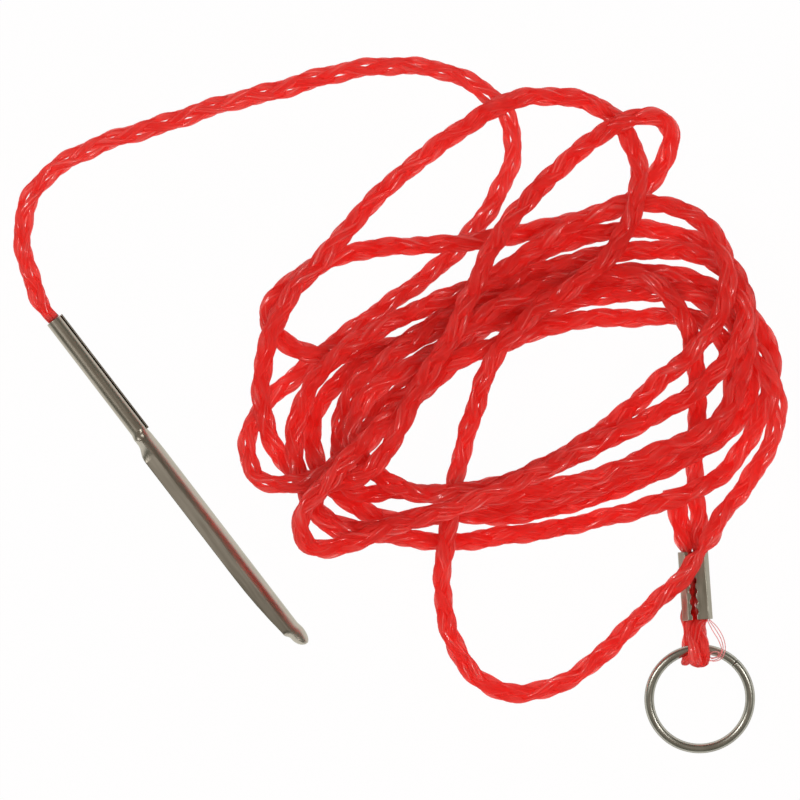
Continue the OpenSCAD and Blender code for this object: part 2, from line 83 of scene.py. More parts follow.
# Places of the needle's mouth, the eye and the ferrule
needle_axis = np.array([math.sin(NEEDLE_TURN), -math.cos(NEEDLE_TURN)])
lip_reach = SOCKET_OD / 2 - SHEET / 2 + WING_FLARE + WING_SHARE * SHEET / 2
mouth = np.array([-SPAN_X / 2 + SOCKET_OD / 2 * math.cos(NEEDLE_TURN),
                  SPAN_Y / 2 - lip_reach * math.sin(NEEDLE_TURN)])
loop_r = RING_WIRE / 2 + WIRE_GAP + EYE_THICKNESS / 2
hinge_z = loop_r + EYE_THICKNESS / 2
ring_r = (RING_OD - RING_WIRE) / 2
ring_tilt = math.asin((hinge_z - RING_WIRE / 2) / (2 * ring_r))
hinge = np.array([SPAN_X / 2 - RING_OD / 2, -SPAN_Y / 2 + 2 * ring_r * math.cos(ring_tilt) + RING_WIRE / 2])
eye_axis = np.array([-math.sin(EYE_TURN), math.cos(EYE_TURN)])
eye_side = np.array([math.cos(EYE_TURN), math.sin(EYE_TURN)])
strand_width = (FERRULE_WIDTH - 2 * FERRULE_WALL - 3 * CRIMP_GAP) / 2
strand_thickness = FERRULE_HEIGHT - 2 * FERRULE_WALL - 2 * CRIMP_GAP
strand_x = (CRIMP_GAP + strand_width) / 2
ferrule_z = FERRULE_HEIGHT / 2
ferrule_top = hinge + eye_axis * (EYE_LEG + FERRULE_LENGTH)
strand_end = ferrule_top + eye_side * strand_x

# Camera: straight down, as in the photograph, with a long lens
PIXEL_MM = 0.23
PICTURE_PIXELS = 800
ORIGIN_PIXEL_X = 401
ORIGIN_PIXEL_Y = 533.5
CAMERA_HEIGHT = 2.0
camera_data = bpy.data.cameras.new("camera")
camera = bpy.data.objects.new("camera", camera_data)
bpy.context.scene.collection.objects.link(camera)
bpy.context.scene.camera = camera
camera.location = ((PICTURE_PIXELS / 2 - ORIGIN_PIXEL_X) * PIXEL_MM * MM,
                   (ORIGIN_PIXEL_Y - PICTURE_PIXELS / 2) * PIXEL_MM * MM, CAMERA_HEIGHT)
camera_data.sensor_width = 36
camera_data.lens = camera_data.sensor_width * CAMERA_HEIGHT / (PICTURE_PIXELS * PIXEL_MM * MM)
camera_data.clip_start = 0.1
camera_data.clip_end = 20

# Cord route from the needle to the ferrule, as in part.scad: laying order, then points in plan
ROUTE = [
    (0, [mouth, mouth - needle_axis * STRAIGHT_RUN, (-86, 62), (-87, 70), (-84.5, 78.5), (-78.5, 84.5),
         (-69, 89.5), (-55, 94), (-41.5, 98.5), (-28, 102), (-14, 106), (-2.5, 107.5), (9, 106.5), (18, 102.5),
         (23, 98), (25.5, 92.5), (25.5, 86), (23, 79.5), (18.5, 72), (12.5, 65), (7, 60), (-4.5, 51.5),
         (-15, 44), (-25, 35.5), (-32, 29), (-35, 22.5), (-35, 17)]),
    (13, [(-33, 13), (-29, 11.5), (-24, 11.5), (-18.5, 13.5), (-13, 17.5), (-9.5, 24), (-5, 29), (0, 32.5),
          (6, 37.5), (11.5, 42.5), (17, 47.5)]),
    (7, [(26, 49), (34, 51.5), (42, 54), (50, 55), (60, 55.5), (67, 55), (71, 52.5)]),
    (8, [(75.5, 49), (80, 43.5), (84, 37.5)]),
    (16, [(86, 31), (86, 24.5), (83.5, 18.5), (79, 11), (73.5, 4), (68.5, -4.5), (64, -10.5), (57, -17),
          (50, -24), (43, -30.5), (36.5, -34.5), (29.5, -36.5), (22.5, -36), (16.5, -32), (12.5, -26),
          (10, -17.5), (9.5, -8.5), (10.5, -1.5)]),
    (18, [(11.5, 5.5), (12.5, 12), (14, 19), (16.5, 27.5), (19, 35.5), (21.5, 41), (24.5, 45), (28.5, 49),
          (33.5, 53), (39, 56.5), (44.5, 61), (49, 65.5), (52, 71), (54, 77)]),
    (4, [(54.5, 83.5), (53, 89.5), (49.5, 95), (43.5, 99), (35, 100.5), (27.5, 100), (21, 97.5), (15, 93.5),
         (9.5, 90), (4.5, 86), (-5, 78), (-9.5, 73), (-13.5, 68.5), (-19, 62), (-24, 56.5), (-28.5, 49),
         (-31, 42)]),
    (3, [(-32, 35.5), (-32, 30), (-31, 25), (-29, 20), (-26, 15.5), (-22.5, 13), (-18, 12.5)]),
    (5, [(-13, 16), (-6.5, 22), (0, 29), (6, 36.5), (12, 42.5), (18.5, 47), (27, 51), (37, 54.5), (47, 57.5),
         (57, 58), (66, 57), (73, 52.5), (78, 46), (80.5, 39), (80, 31), (76.5, 25), (69, 19.5), (57.5, 13.5),
         (46, 9), (34.5, 6), (23, 4), (11.5, 4.5), (4, 3.5), (-2.5, 3), (-7, 4.5), (-12, 7.5), (-16.5, 11.5)]),
    (10, [(-19.5, 17), (-20.5, 23.5), (-19.5, 28), (-16.5, 32.5), (-12, 37), (-4, 41.5), (5, 46.5), (12, 52),
          (18.5, 57), (27.5, 62), (36.5, 66.5), (46, 69), (55, 70), (64, 68.5), (71, 66), (76, 60.5),
          (79, 53.5), (79.5, 46), (78.5, 39), (76, 31), (71, 24.5), (57.5, 18.5), (46, 13.5), (34.5, 10.5),
          (23, 8.5), (11.5, 9.5), (4, 9.5), (-3, 10), (-8, 9), (-12, 10.5)]),
    (11, [(-14, 16), (-14, 23), (-13, 28.5), (-10.5, 34), (-5, 39), (2, 43.5), (9, 48), (18.5, 54), (25, 57),
          (33, 60.5), (43.5, 63.5), (55, 65), (66.5, 64.5), (73.5, 61), (77.5, 56), (78.5, 49.5), (76.5, 43)]),
    (20, [(72, 37), (68, 33), (64, 30.5), (55, 25.5), (46, 21), (34.5, 15.5), (23, 10.5), (11.5, 6),
          (6.5, 4.5), (0, 2.5), (-6, 0), (-12, -2)]),
    (21, [(-17.5, -3.5), (-21.5, -2), (-23, 1.5), (-22.5, 5), (-18.5, 10), (-14.5, 14.5), (-10, 19.5),
          (-5, 24.5), (0, 28.5), (5.5, 33), (9.5, 37)]),
    (17, [(13.5, 40), (18, 42), (23, 43.5), (28, 45.5), (36, 48)]),
    (9, [(45, 49.5), (55, 49.5), (65, 50), (69.5, 48.5), (73, 45.5), (75, 41), (76, 35), (75, 29), (71, 23.5),
         (57.5, 16), (46, 11), (34.5, 8), (23, 6), (11.5, 5.5)]),
    (14, [(4, 4), (-3, 1.5), (-9, 0.5), (-14.5, 1), (-19, 4.5), (-19.5, 9), (-16, 12)]),
    (16, [(-11, 12.5), (-7, 15)]),
    (22, [(-3, 19.5), (0.5, 26), (3, 31.5), (6, 37), (10, 42.5), (12.5, 47.5), (15, 53), (17.5, 58.5),
          (20, 64), (24, 70.5), (29, 76.5), (36.5, 84), (43.5, 90), (50, 94), (57, 96)]),
    (1, [(61, 94), (62, 89.5), (59.5, 84), (56, 79), (51, 75.5), (45, 73), (38, 71.5), (30, 69.5), (20, 67.5),
         (10, 66.5), (-0.5, 66), (-9.5, 65), (-18.5, 62), (-24, 58.5)]),
    (2, [(-29, 54), (-30.5, 50), (-28.5, 45.5), (-23, 42), (-15, 41)]),
    (6, [(-4.5, 42.5), (4.5, 45), (11, 48), (18.5, 51.5), (27, 56), (38, 59), (50, 60), (62, 59.5), (70.5, 57),
         (77, 52.5), (82, 47.5), (85, 41.5), (85, 35), (83, 28.5)]),
    (12, [(79, 20.5), (74.5, 14.5), (69.5, 11), (57.5, 6.5), (46, 3.5), (34.5, 1), (23, -0.5), (11.5, -2),
          (2, -1), (-7, 0.5), (-14.5, 2), (-20, 6), (-23, 12.5), (-24.5, 19), (-24, 25.5), (-22, 31.5),
          (-18, 37.5), (-12, 43), (-5, 47), (3, 51), (11, 54.5), (18.5, 57.5), (26.5, 62.5), (33, 67),
          (39.5, 71), (46, 74), (53, 76), (60, 75.5), (66, 73.5), (70.5, 70), (73.5, 65), (74.5, 58.5),
          (74, 53)]),
    (19, [(71.5, 48), (65.5, 40.5), (59.5, 35.5), (55, 31), (46, 23.5), (34.5, 16.5), (23, 11.5), (14, 10),
          (7, 9)]),
    (15, [(0, 10.5), (-5, 13.5), (-9, 17.5), (-11.5, 22), (-10.5, 27), (-7.5, 31.5), (-3, 35.5), (4, 39.5),
          (11, 44), (18.5, 50), (27, 54.5), (36.5, 58), (45, 59.5), (54, 59), (60, 56), (64, 50.5), (66.5, 44),
          (67.5, 37.5)]),
    (3, [(68, 30), (67.5, 21), (67.5, 11), (68.5, 3), strand_end + eye_axis * STRAIGHT_RUN, strand_end]),
]
TAIL = [(-2.5, 5.5), (-3.5, 10), (-4.5, 14.5)]


# Smooth curve through points, and the order of laying at each of its points
def knot(a, b):
    return math.sqrt(max(np.linalg.norm(b - a), 0.001))


def span_steps(a, b):
    return max(1, math.floor(2 * np.linalg.norm(b - a) / RING_STEP + 0.5))


def span_point(p0, p1, p2, p3, t):
    d0, d1, d2 = knot(p0, p1), knot(p1, p2), knot(p2, p3)
    m1 = p2 - p1 + d1 * ((p1 - p0) / d0 - (p2 - p0) / (d0 + d1))
    m2 = p2 - p1 + d1 * ((p3 - p2) / d2 - (p3 - p1) / (d1 + d2))
    return ((2 * t**3 - 3 * t**2 + 1) * p1 + (t**3 - 2 * t**2 + t) * m1
            + (3 * t**2 - 2 * t**3) * p2 + (t**3 - t**2) * m2)


def smooth(points, steps=span_steps):
    p = [np.array(q, float) for q in points]
    line, owner = [], []
    for i in range(len(p) - 1):
        p0 = p[i - 1] if i else 2 * p[0] - p[1]
        p3 = p[i + 2] if i + 2 < len(p) else 2 * p[i + 1] - p[i]
        n = steps(p[i], p[i + 1])
        line += [span_point(p0, p[i], p[i + 1], p3, k / n) for k in range(n)]
        owner += [i] * n
    return np.array(line + [p[-1]]), owner + [len(p) - 1]


def evenly(line, step):
    travel = np.r_[0, np.cumsum(np.linalg.norm(np.diff(line, axis=0), axis=1))]
    places = np.linspace(0, travel[-1], max(2, round(travel[-1] / step) + 1))
    return np.stack([np.interp(places, travel, line[:, k]) for k in range(line.shape[1])], axis=1)


# Heights by the rule of part.scad: a point rests on what was laid before it, and climbs gently
def near_line(plan, line, distance):
    return np.linalg.norm(plan[:, None] - np.array(line)[None], axis=2).min(axis=1) < distance


def lay_cord():
    plan, owner = smooth([p for _, points in ROUTE for p in points])
    order = np.array([o for o, points in ROUTE for _ in points])[owner]
    reach = CAD_WIDTH + LAY_GAP * CAD_WIDTH / CAD_THICKNESS
    lift = CAD_THICKNESS + LAY_GAP
    rest = CAD_THICKNESS / 2
    steps = np.linalg.norm(np.diff(plan, axis=0), axis=1)
    travel = np.r_[0, np.cumsum(steps)]
    n = len(plan)
    heading = np.empty_like(plan)
    heading[1:-1] = plan[2:] - plan[:-2]
    heading[0], heading[-1] = plan[1] - plan[0], plan[-1] - plan[-2]
    heading /= np.linalg.norm(heading, axis=1)[:, None]
    crossing = np.abs(heading[:, None, 0] * heading[None, :, 1] - heading[:, None, 1] * heading[None, :, 0])
    apart = np.maximum(0, np.linalg.norm(plan[:, None] - plan[None], axis=2) - CROSSING_RELIEF * crossing)
    index = np.arange(n)
    laid_together = order[:, None] == order[None]
    is_over = (order[:, None] > order[None]) | (laid_together & (index[:, None] > index[None]))
    far = np.abs(travel[:, None] - travel[None]) > SKIP_SHARE * reach
    upper, lower = np.where(is_over & far & (apart < reach))
    raised = lift * np.sqrt(1 - (apart[upper, lower] / reach) ** 2)
    z = np.full(n, rest)
    z[np.linalg.norm(plan - mouth, axis=1) < STRAIGHT_RUN] = SOCKET_OD / 2
    z[np.linalg.norm(plan - strand_end, axis=1) < STRAIGHT_RUN + 1] = ferrule_z
    ferrule_line = [hinge + eye_axis * (EYE_LEG + FERRULE_LENGTH * k / 4) for k in range(5)]
    over_ferrule = (order > FERRULE_ORDER) & near_line(plan, ferrule_line, FERRULE_WIDTH / 2 + reach / 2)
    z[over_ferrule] = FERRULE_HEIGHT + LAY_GAP + rest
    over_tail = (order > FERRULE_ORDER) & near_line(plan, tail_plan(), reach)
    z[over_tail] = np.maximum(z[over_tail], ferrule_z + lift)
    for _ in range(SETTLE_ROUNDS):
        before = z.copy()
        np.maximum.at(z, upper, before[lower] + raised)
        for i in range(1, n):
            z[i] = max(z[i], z[i - 1] - CLIMB_SHARE * steps[i - 1])
        for i in range(n - 2, -1, -1):
            z[i] = max(z[i], z[i + 1] - CLIMB_SHARE * steps[i])
        if np.array_equal(z, before):
            break
    return np.c_[plan, z]


def tail_plan():
    return smooth([ferrule_top - eye_side * strand_x] + [ferrule_top + np.array(p) for p in TAIL])[0]


# Materials
def new_material(name):
    material = bpy.data.materials.new(name)
    material.use_nodes = True
    return material, material.node_tree.nodes, material.node_tree.links


def value_ramp(nodes, links, source, low, high, place=(0.3, 0.7)):
    ramp = nodes.new("ShaderNodeValToRGB")
    ramp.color_ramp.elements[0].position, ramp.color_ramp.elements[1].position = place
    ramp.color_ramp.elements[0].color = (*low, 1)
    ramp.color_ramp.elements[1].color = (*high, 1)
    links.new(source, ramp.inputs["Fac"])
    return ramp.outputs["Color"]


def braid_material(name, deep, light, glow, painted_glint):
    material, nodes, links = new_material(name)
    shader = nodes["Principled BSDF"]
    shader.inputs["Roughness"].default_value = 0.3
    shader.inputs["Specular IOR Level"].default_value = 0.6
    place = nodes.new("ShaderNodeAttribute")
    place.attribute_name = "lay"
    stretch = nodes.new("ShaderNodeMapping")
    stretch.inputs["Scale"].default_value = (2.4, 0.09, 1.5)
    links.new(place.outputs["Vector"], stretch.inputs["Vector"])
    filaments = nodes.new("ShaderNodeTexNoise")
    filaments.inputs["Scale"].default_value = 1
    filaments.inputs["Detail"].default_value = 3
    filaments.inputs["Roughness"].default_value = 0.6
    links.new(stretch.outputs["Vector"], filaments.inputs["Vector"])
    tone = value_ramp(nodes, links, filaments.outputs["Fac"], deep, light, (0.38, 0.62))
    # Pale pink streaks along the filaments are painted highlight: glints of light mixed into the base colour
    # through a noise mask.
    painted_glint_mask = value_ramp(nodes, links, filaments.outputs["Fac"], (0, 0, 0), (1, 1, 1), (0.56, 0.66))
    colour = nodes.new("ShaderNodeMix")
    colour.data_type = "RGBA"
    links.new(painted_glint_mask, colour.inputs["Factor"])
    links.new(tone, colour.inputs["A"])
    colour.inputs["B"].default_value = (*painted_glint, 1)
    links.new(colour.outputs["Result"], shader.inputs["Base Color"])
    bump = nodes.new("ShaderNodeBump")
    bump.inputs["Strength"].default_value = 0.8
    bump.inputs["Distance"].default_value = 0.0003
    links.new(filaments.outputs["Fac"], bump.inputs["Height"])
    links.new(bump.outputs["Normal"], shader.inputs["Normal"])
    through = nodes.new("ShaderNodeBsdfTranslucent")
    through.inputs["Color"].default_value = (*glow, 1)
    links.new(bump.outputs["Normal"], through.inputs["Normal"])
    mix = nodes.new("ShaderNodeMixShader")
    mix.inputs["Fac"].default_value = 0.88
    links.new(shader.outputs["BSDF"], mix.inputs[1])
    links.new(through.outputs["BSDF"], mix.inputs[2])
    gloss = nodes.new("ShaderNodeBsdfGlossy")
    shine = value_ramp(nodes, links, filaments.outputs["Fac"], (0.004, 0.003, 0.003), (0.16, 0.14, 0.14),
                       (0.54, 0.66))
    links.new(shine, gloss.inputs["Color"])
    gloss.inputs["Roughness"].default_value = 0.15
    links.new(bump.outputs["Normal"], gloss.inputs["Normal"])
    total = nodes.new("ShaderNodeAddShader")
    links.new(mix.outputs["Shader"], total.inputs[0])
    links.new(gloss.outputs["BSDF"], total.inputs[1])
    links.new(total.outputs["Shader"], nodes["Material Output"].inputs["Surface"])
    return material


def steel_material(name, dark, light, edge, roughness, scale, turn=0.0):
    material, nodes, links = new_material(name)
    shader = nodes["Principled BSDF"]
    shader.inputs["Metallic"].default_value = 1
    shader.inputs["Specular Tint"].default_value = (*edge, 1)
    place = nodes.new("ShaderNodeTexCoord")
    along = nodes.new("ShaderNodeMapping")
    along.vector_type = "TEXTURE"
    along.inputs["Rotation"].default_value = (0, 0, turn)
    links.new(place.outputs["Object"], along.inputs["Vector"])
    stretch = nodes.new("ShaderNodeMapping")
    stretch.inputs["Scale"].default_value = scale
    links.new(along.outputs["Vector"], stretch.inputs["Vector"])
    noise = nodes.new("ShaderNodeTexNoise")
    noise.inputs["Scale"].default_value = 1
    noise.inputs["Detail"].default_value = 3
    links.new(stretch.outputs["Vector"], noise.inputs["Vector"])
    colour = value_ramp(nodes, links, noise.outputs["Fac"], dark, light)
    links.new(colour, shader.inputs["Base Color"])
    low, high = roughness
    rough = value_ramp(nodes, links, noise.outputs["Fac"], (low,) * 3, (high,) * 3)
    links.new(rough, shader.inputs["Roughness"])
    bump = nodes.new("ShaderNodeBump")
    bump.inputs["Strength"].default_value = 0.1
    bump.inputs["Distance"].default_value = 0.00002
    links.new(noise.outputs["Fac"], bump.inputs["Height"])
    rounded = nodes.new("ShaderNodeBevel")
    rounded.samples = 8
    rounded.inputs["Radius"].default_value = 0.3 * MM
    links.new(rounded.outputs["Normal"], bump.inputs["Normal"])
    links.new(bump.outputs["Normal"], shader.inputs["Normal"])
    return material


# The last colour of each braid finish is the pale colour of its painted highlight streaks.
cord_red = braid_material("cord_red", deep=(0.95, 0.002, 0.002), light=(1.0, 0.03, 0.025),
                          glow=(1.0, 0.46, 0.43), painted_glint=(1.0, 0.6, 0.56))
filament_red = braid_material("filament_red", deep=(0.9, 0.2, 0.2), light=(1.0, 0.5, 0.5),
                              glow=(1.0, 0.75, 0.75), painted_glint=(1.0, 0.8, 0.8))


# Braid: flat bundles of filaments, half of them turning each way, over and under each other
BUNDLES_EACH_WAY = 3
BRAID_LEAD = 36.0
BUNDLE_WIDTH = 2.8
BUNDLE_THICKNESS = 0.9
WEAVE = 0.32
CROWN = 0.3
WRAP_RADIUS_SHARE = 0.85
GROOVE_WIDTH = 0.06
ROLL_LENGTH = 45
WIDTH_DRIFT, WIDTH_DRIFT_LENGTH = 0.05, 9
HEIGHT_DRIFT, HEIGHT_DRIFT_LENGTH = 0.05, 11
SPREAD_DRIFT, SPREAD_DRIFT_LENGTH = 0.12, 14
SECTION = [(math.cos(a), math.sin(a)) for a in np.linspace(0, 2 * math.pi, 12, endpoint=False)]


def slow_noise(travel, length):
    knots = rng.uniform(-1, 1, int(travel[-1] / length) + 4)
    x = travel / length
    i = x.astype(int)
    t = x - i
    t = t * t * (3 - 2 * t)
    return knots[i] * (1 - t) + knots[i + 1] * t


def braid(name, line, side, half_width, half_height, groove=0.0, spread=1.0, sway=0.5):
    """line, side and the two half sizes are given at even places along the cord, in millimetres."""
    n = len(line)
    along = np.gradient(line, axis=0)
    along /= np.linalg.norm(along, axis=1)[:, None]
    side = side - along * (side * along).sum(axis=1)[:, None]
    side /= np.linalg.norm(side, axis=1)[:, None]
    up = np.cross(side, along)
    travel = np.r_[0, np.cumsum(np.linalg.norm(np.diff(line, axis=0), axis=1))]
    roll = sway * slow_noise(travel, ROLL_LENGTH)
    half_width = half_width * (1 + WIDTH_DRIFT * slow_noise(travel, WIDTH_DRIFT_LENGTH))
    half_height = half_height * (1 + HEIGHT_DRIFT * slow_noise(travel, HEIGHT_DRIFT_LENGTH))
    wrap_radius = 0.5 * (half_width + half_height) * WRAP_RADIUS_SHARE
    side_radius = half_width - BUNDLE_THICKNESS / 2 - WEAVE
    up_radius = half_height - BUNDLE_THICKNESS / 2 - WEAVE
    turn = 2 * math.pi * travel / BRAID_LEAD
    weave = np.cos(BUNDLES_EACH_WAY * turn)
    vertices, faces, lay = [], [], []
    base = 0
    for hand in (1, -1):
        for k in range(BUNDLES_EACH_WAY):
            phase = hand * turn + 2 * math.pi * k / BUNDLES_EACH_WAY + roll
            over = hand * weave
            widen = spread * (1 + SPREAD_DRIFT * slow_noise(travel, SPREAD_DRIFT_LENGTH))
            rings = []
            for u, v in SECTION:
                angle = phase + u * widen * BUNDLE_WIDTH / 2 / wrap_radius
                lift = over * WEAVE + v * BUNDLE_THICKNESS / 2 - CROWN * u * u
                dent = 1 - groove * np.exp(-((np.sin(angle) - 1) / GROOVE_WIDTH) ** 2)
                a = (side_radius + lift) * dent
                b = (up_radius + lift) * dent
                rings.append(line + side * (a * np.cos(angle))[:, None] + up * (b * np.sin(angle))[:, None])
                lay.append(np.c_[np.full(n, u * BUNDLE_WIDTH / 2 + 10 * k + 5 * hand), travel, np.full(n, v)])
            vertices.append(np.concatenate(rings))
            m = len(SECTION)
            i = np.arange(n - 1)
            for q in range(m):
                r = (q + 1) % m
                faces.append(np.stack([q * n + i, r * n + i, r * n + i + 1, q * n + i + 1], axis=1) + base)
            ends = np.arange(m) * n + base
            for end, turned in ((0, 1), (n - 1, -1)):
                cap = (ends + end)[::turned]
                faces.append(np.array([(cap[j], cap[j + 1], cap[-j - 2], cap[-j - 1])
                                       for j in range(m // 2 - 1)]))
            base += m * n
    mesh = bpy.data.meshes.new(name)
    mesh.from_pydata(np.concatenate(vertices) * MM, [], np.concatenate(faces).tolist())
    mesh.polygons.foreach_set("use_smooth", [True] * len(mesh.polygons))
    attribute = mesh.attributes.new("lay", "FLOAT_VECTOR", "POINT")
    attribute.data.foreach_set("vector", np.concatenate(lay).ravel())
    mesh.materials.append(cord_red)
    piece = bpy.data.objects.new(name, mesh)
    bpy.context.scene.collection.objects.link(piece)
    return piece


def swell(narrow, wide, distance, length=7.0):
    t = np.clip(distance / length, 0, 1)
    return narrow + (wide - narrow) * t * t * (3 - 2 * t)


# Free cord from the needle to the ferrule, wider than the solid and lifted to rest on the surface
CORD_WIDTH = 4.8
CORD_THICKNESS = 3.5
MOUTH_FILL = 3.3
FERRULE_SWELL = 3.5
FLOOR_LIFT = (CORD_THICKNESS - CAD_THICKNESS) / 2 + 0.05
LIFT_RUN = 8
# The lead keeps its openings in line, and beyond it the bundles drift and spread
LEAD_LENGTH, LEAD_FADE = 400.0, 100
LEAD_SWAY, EXTRA_SWAY, EXTRA_SPREAD = 0.1, 0.5, 0.14
laid = lay_cord()
for _ in range(2):
    laid[1:-1, 2] = (laid[:-2, 2] + 2 * laid[1:-1, 2] + laid[2:, 2]) / 4
fine = evenly(smooth(laid, lambda a, b: 3)[0], 1.0)
flat_side = np.cross(np.gradient(fine, axis=0), (0, 0, 1))
from_mouth = np.linalg.norm(fine[:, :2] - mouth, axis=1)
from_ferrule = np.linalg.norm(fine[:, :2] - strand_end, axis=1)
half_width = np.minimum(swell(MOUTH_FILL, CORD_WIDTH, from_mouth),
                        swell(strand_width, CORD_WIDTH, from_ferrule, FERRULE_SWELL)) / 2
half_height = np.minimum(swell(MOUTH_FILL, CORD_THICKNESS, from_mouth),
                         swell(strand_thickness, CORD_THICKNESS, from_ferrule)) / 2
fine[:, 2] += FLOOR_LIFT * np.clip(np.minimum(from_mouth, from_ferrule) / LIFT_RUN, 0, 1)
places = np.r_[0, np.cumsum(np.linalg.norm(np.diff(fine, axis=0), axis=1))]
beyond_lead = np.clip((places - LEAD_LENGTH) / LEAD_FADE, 0, 1)
cord = braid("cord_free", fine, flat_side, half_width, half_height, spread=1 + EXTRA_SPREAD * beyond_lead,
             sway=LEAD_SWAY + EXTRA_SWAY * beyond_lead)
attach(cord, "line")
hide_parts("cord_lead", "cord_heap")

# Cord in the needle's socket
SOCKET_FILL = 2.8
socket_ends = [[*mouth, SOCKET_OD / 2], [*(mouth + needle_axis * SOCKET_DEPTH), SOCKET_OD / 2]]
socket_line = evenly(np.array(socket_ends), 1.0)
n = len(socket_line)
socket_end = braid("cord_socket_braid", socket_line, np.tile([*eye_side, 0.0], (n, 1)),
                   np.full(n, SOCKET_FILL / 2), np.full(n, SOCKET_FILL / 2), spread=0.7)
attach(socket_end, "line")
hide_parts("cord_socket_end")


# Eye: through the ferrule, over the ring wire, back under it, and out as the cut end
def from_eye(points):
    """Each point is across and along the eye from the ring's hinge, and a height."""
    p = np.array(points, float)
    return np.c_[hinge + p[:, :1] * eye_side + p[:, 1:2] * eye_axis, p[:, 2]]


FRONT_X = -0.5
BACK_X = -1.7
FRONT_LEG = 5.2
LOBES = 6.8
LOBE_GROOVE = 0.45
HELD_START_SHARE, HELD_RUN_SHARE = 1.15, 0.2
RELEASE_RUN = 6
TAIL_RUN = 3
STACK_START, STACK_RUN = 5, 2
STACK_SHARE = 0.3
rest_z = CAD_THICKNESS / 2
eye_top = EYE_LEG + FERRULE_LENGTH
loop = [(FRONT_X + (BACK_X - FRONT_X) * (a - 90) / 180, loop_r * math.cos(math.radians(a)),
         hinge_z + loop_r * math.sin(math.radians(a))) for a in range(62, 280, 18)]
pressed = strand_thickness / 4
eye_points = [(strand_x, eye_top, ferrule_z),
              (strand_x, eye_top * 0.8, ferrule_z),
              (strand_x * 0.45, EYE_LEG * 1.25, ferrule_z + pressed * 0.6),
              (strand_x * 0.15, EYE_LEG, ferrule_z + pressed),
              (FRONT_X, EYE_LEG * 0.78, ferrule_z + (hinge_z + loop_r - ferrule_z) * 0.42),
              *loop,
              (-strand_x * 0.95, EYE_LEG * 0.6, rest_z),
              (-strand_x * 0.9, EYE_LEG, ferrule_z - pressed),
              (-strand_x, EYE_LEG * 1.25, ferrule_z - pressed * 0.6),
              (-strand_x, eye_top * 0.8, ferrule_z),
              (-strand_x, eye_top, ferrule_z)]
tail_line = tail_plan()[1:]
tail_heights = [max(rest_z, ferrule_z - (ferrule_z - rest_z) * (i + 1) / 3) for i in range(len(tail_line))]
eye_line = np.concatenate([from_eye(eye_points), np.c_[tail_line, tail_heights]])
eye_fine = evenly(smooth(eye_line, lambda a, b: 6)[0], 0.6)
y_in_eye = (eye_fine[:, :2] - hinge) @ eye_axis
held = (np.clip((y_in_eye - EYE_LEG * HELD_START_SHARE) / (eye_top * HELD_RUN_SHARE), 0, 1)
        * np.clip((eye_top - y_in_eye) / RELEASE_RUN + 1, 0, 1))
far = np.clip(-y_in_eye / loop_r, 0, 1)
tail = np.clip((y_in_eye - eye_top) / TAIL_RUN, 0, 1)
stacked = np.clip((y_in_eye - STACK_START) / STACK_RUN, 0, 1)
strand_fill = strand_width + 2 * CRIMP_GAP
eye_width = FRONT_LEG + (LOBES - FRONT_LEG) * far + held * (strand_fill - FRONT_LEG) * (1 - tail)
eye_height = (EYE_THICKNESS * (1 - held) * (1 - STACK_SHARE * stacked) + held * strand_thickness
              + tail * (EYE_THICKNESS - strand_thickness) * held)
eye = braid("cord_eye_braid", eye_fine, np.tile([*eye_side, 0.0], (len(eye_fine), 1)),
            eye_width / 2, eye_height / 2, groove=LOBE_GROOVE * far)
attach(eye, "line")
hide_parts("cord_eye")

# Filaments pulled out of the cord, from the ferrule's corner, arching over the ring wire
FILAMENTS = [
    [(2.7, 6.6, 3.0), (4.4, 4.6, 4.4), (5.6, 1.8, 5.9), (5.7, -0.6, 6.5), (4.8, -2.4, 6.0), (3.2, -3.0, 5.0),
     (1.6, -2.6, 4.6)],
    [(2.5, 6.5, 3.2), (3.8, 4.4, 4.6), (5.0, 1.8, 6.0), (5.2, -0.4, 6.6), (4.4, -1.8, 6.1), (3.0, -2.2, 5.4),
     (1.4, -2.0, 5.0)],
    [(2.2, 6.4, 3.3), (3.2, 4.0, 4.8), (4.4, 1.6, 6.1), (4.9, -0.6, 6.5), (4.5, -2.0, 5.8), (3.4, -2.7, 4.9),
     (1.8, -2.9, 4.4)],
    [(2.0, -1.2, 6.4), (3.2, -0.8, 6.7), (4.2, -1.0, 6.6), (3.9, -2.0, 5.9), (2.4, -2.4, 5.2)],
]
FILAMENT_RADIUS = 0.11


def tube(line, radius, sides=6):
    along = np.gradient(line, axis=0)
    along /= np.linalg.norm(along, axis=1)[:, None]
    across = np.cross(along, (0, 0, 1))
    across /= np.linalg.norm(across, axis=1)[:, None]
    up = np.cross(across, along)
    angles = np.linspace(0, 2 * math.pi, sides, endpoint=False)
    rings = [line + radius * (math.cos(a) * across + math.sin(a) * up) for a in angles]
    n = len(line)
    faces = [(q * n + i, (q + 1) % sides * n + i, (q + 1) % sides * n + i + 1, q * n + i + 1)
             for q in range(sides) for i in range(n - 1)]
    faces += [tuple(range(0, sides * n, n)), tuple(range(n - 1, sides * n, n))[::-1]]
    return np.concatenate(rings), faces


vertices, faces = [], []
for points in FILAMENTS:
    ring, sheet = tube(from_eye(smooth(points, lambda a, b: 6)[0]), FILAMENT_RADIUS)
    faces += [tuple(v + sum(len(r) for r in vertices) for v in face) for face in sheet]
    vertices.append(ring)
mesh = bpy.data.meshes.new("loose_filaments")
mesh.from_pydata(np.concatenate(vertices) * MM, [], faces)
mesh.polygons.foreach_set("use_smooth", [True] * len(mesh.polygons))
mesh.materials.append(filament_red)
filaments = bpy.data.objects.new("loose_filaments", mesh)
bpy.context.scene.collection.objects.link(filaments)
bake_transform(filaments)

